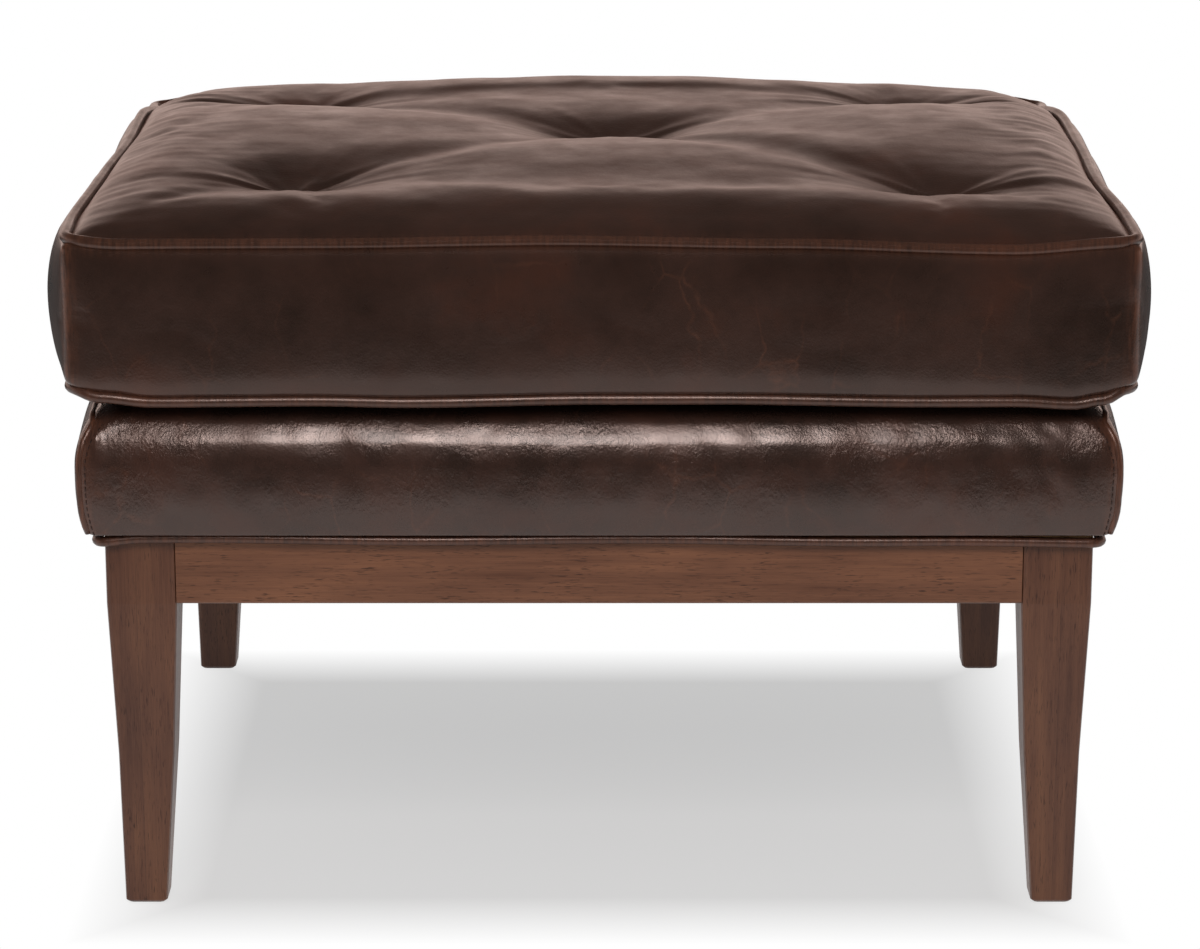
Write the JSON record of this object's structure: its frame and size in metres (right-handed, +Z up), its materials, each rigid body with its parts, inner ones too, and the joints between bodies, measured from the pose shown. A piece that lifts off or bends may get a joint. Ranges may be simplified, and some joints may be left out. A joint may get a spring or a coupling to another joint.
{
  "type": "tufted footstool",
  "caption": "Box-cushion footstool: a loose tufted leather cushion with corded welts on an upholstered deck, wooden rails and tapered legs.",
  "frame": {"origin": "on the floor, under the middle of the stool", "axes": "+X to the stool's right as seen from the front, +Y to the back, +Z up; the front faces -Y"},
  "size_m": [0.752, 0.6324, 0.5108],
  "materials": {
    "stained_wood": "walnut stain, satin",
    "frame_wood": "raw",
    "zinc_steel": "zinc plated",
    "nylon": "moulded",
    "webbing": "woven",
    "foam": "open foam",
    "cover_cloth": "non-woven",
    "felt_and_twine": "felt and waxed twine",
    "zip_tape": "woven",
    "zip_brass": "antique",
    "welt_leather": "waxed, semi-gloss",
    "leather": "waxed, semi-gloss"
  },
  "bodies": {
    "stool_base": {"leg_front_left": "stained_wood", "leg_front_right": "stained_wood", "leg_rear_left": "stained_wood", "leg_rear_right": "stained_wood", "corner_block_front_left": "frame_wood", "corner_block_front_right": "frame_wood", "corner_block_rear_left": "frame_wood", "corner_block_rear_right": "frame_wood", "corner_bolts": "zinc_steel", "deck_fixing_screws": "zinc_steel", "leg_glides": "nylon", "rail_front": "stained_wood", "rail_rear": "stained_wood", "rail_left": "stained_wood", "rail_right": "stained_wood", "deck_rail_front": "frame_wood", "deck_rail_rear": "frame_wood", "deck_rail_left": "frame_wood", "deck_rail_right": "frame_wood", "deck_frame_blocks": "frame_wood", "webbing_lengthwise": "webbing", "webbing_crosswise": "webbing", "deck_foam_slab": "foam", "deck_foam_front": "foam", "deck_foam_rear": "foam", "deck_foam_left": "foam", "deck_foam_right": "foam", "deck_leather_wrap": "leather", "deck_leather_left": "leather", "deck_leather_right": "leather", "deck_welt_bottom": "welt_leather", "deck_welt_left": "welt_leather", "deck_welt_right": "welt_leather", "dust_cover": "cover_cloth"},
    "loose_cushion": {"cushion_top_panel": "leather", "cushion_bottom_panel": "leather", "cushion_boxing_front": "leather", "cushion_boxing_left": "leather", "cushion_boxing_right": "leather", "cushion_boxing_back": "leather", "cushion_welt_top": "welt_leather", "cushion_welt_bottom": "welt_leather", "cushion_foam_core": "foam", "cushion_crown_pad": "foam", "tuft_washers": "felt_and_twine", "tuft_twines": "felt_and_twine", "zip_tape": "zip_tape", "zip_chain": "zip_brass"},
    "zip_runner": {"zip_slider": "zip_brass"},
    "zip_tab": {"zip_pull": "zip_brass"}
  },
  "joints": [
    {"name": "cushion_lift", "type": "slide", "parent": "stool_base", "child": "loose_cushion", "axis": [0, 0, 1], "range_m": [0, 0.25]},
    {"name": "zip_slide", "type": "slide", "parent": "loose_cushion", "child": "zip_runner", "axis": [-1, 0, 0], "range_m": [0, 0.544]},
    {"name": "zip_pull_swing", "type": "hinge", "parent": "zip_runner", "child": "zip_tab", "pos_m": [0.272, 0.3141, 0.4228], "axis": [0, 0, -1], "range_deg": [0, 175]}
  ]
}
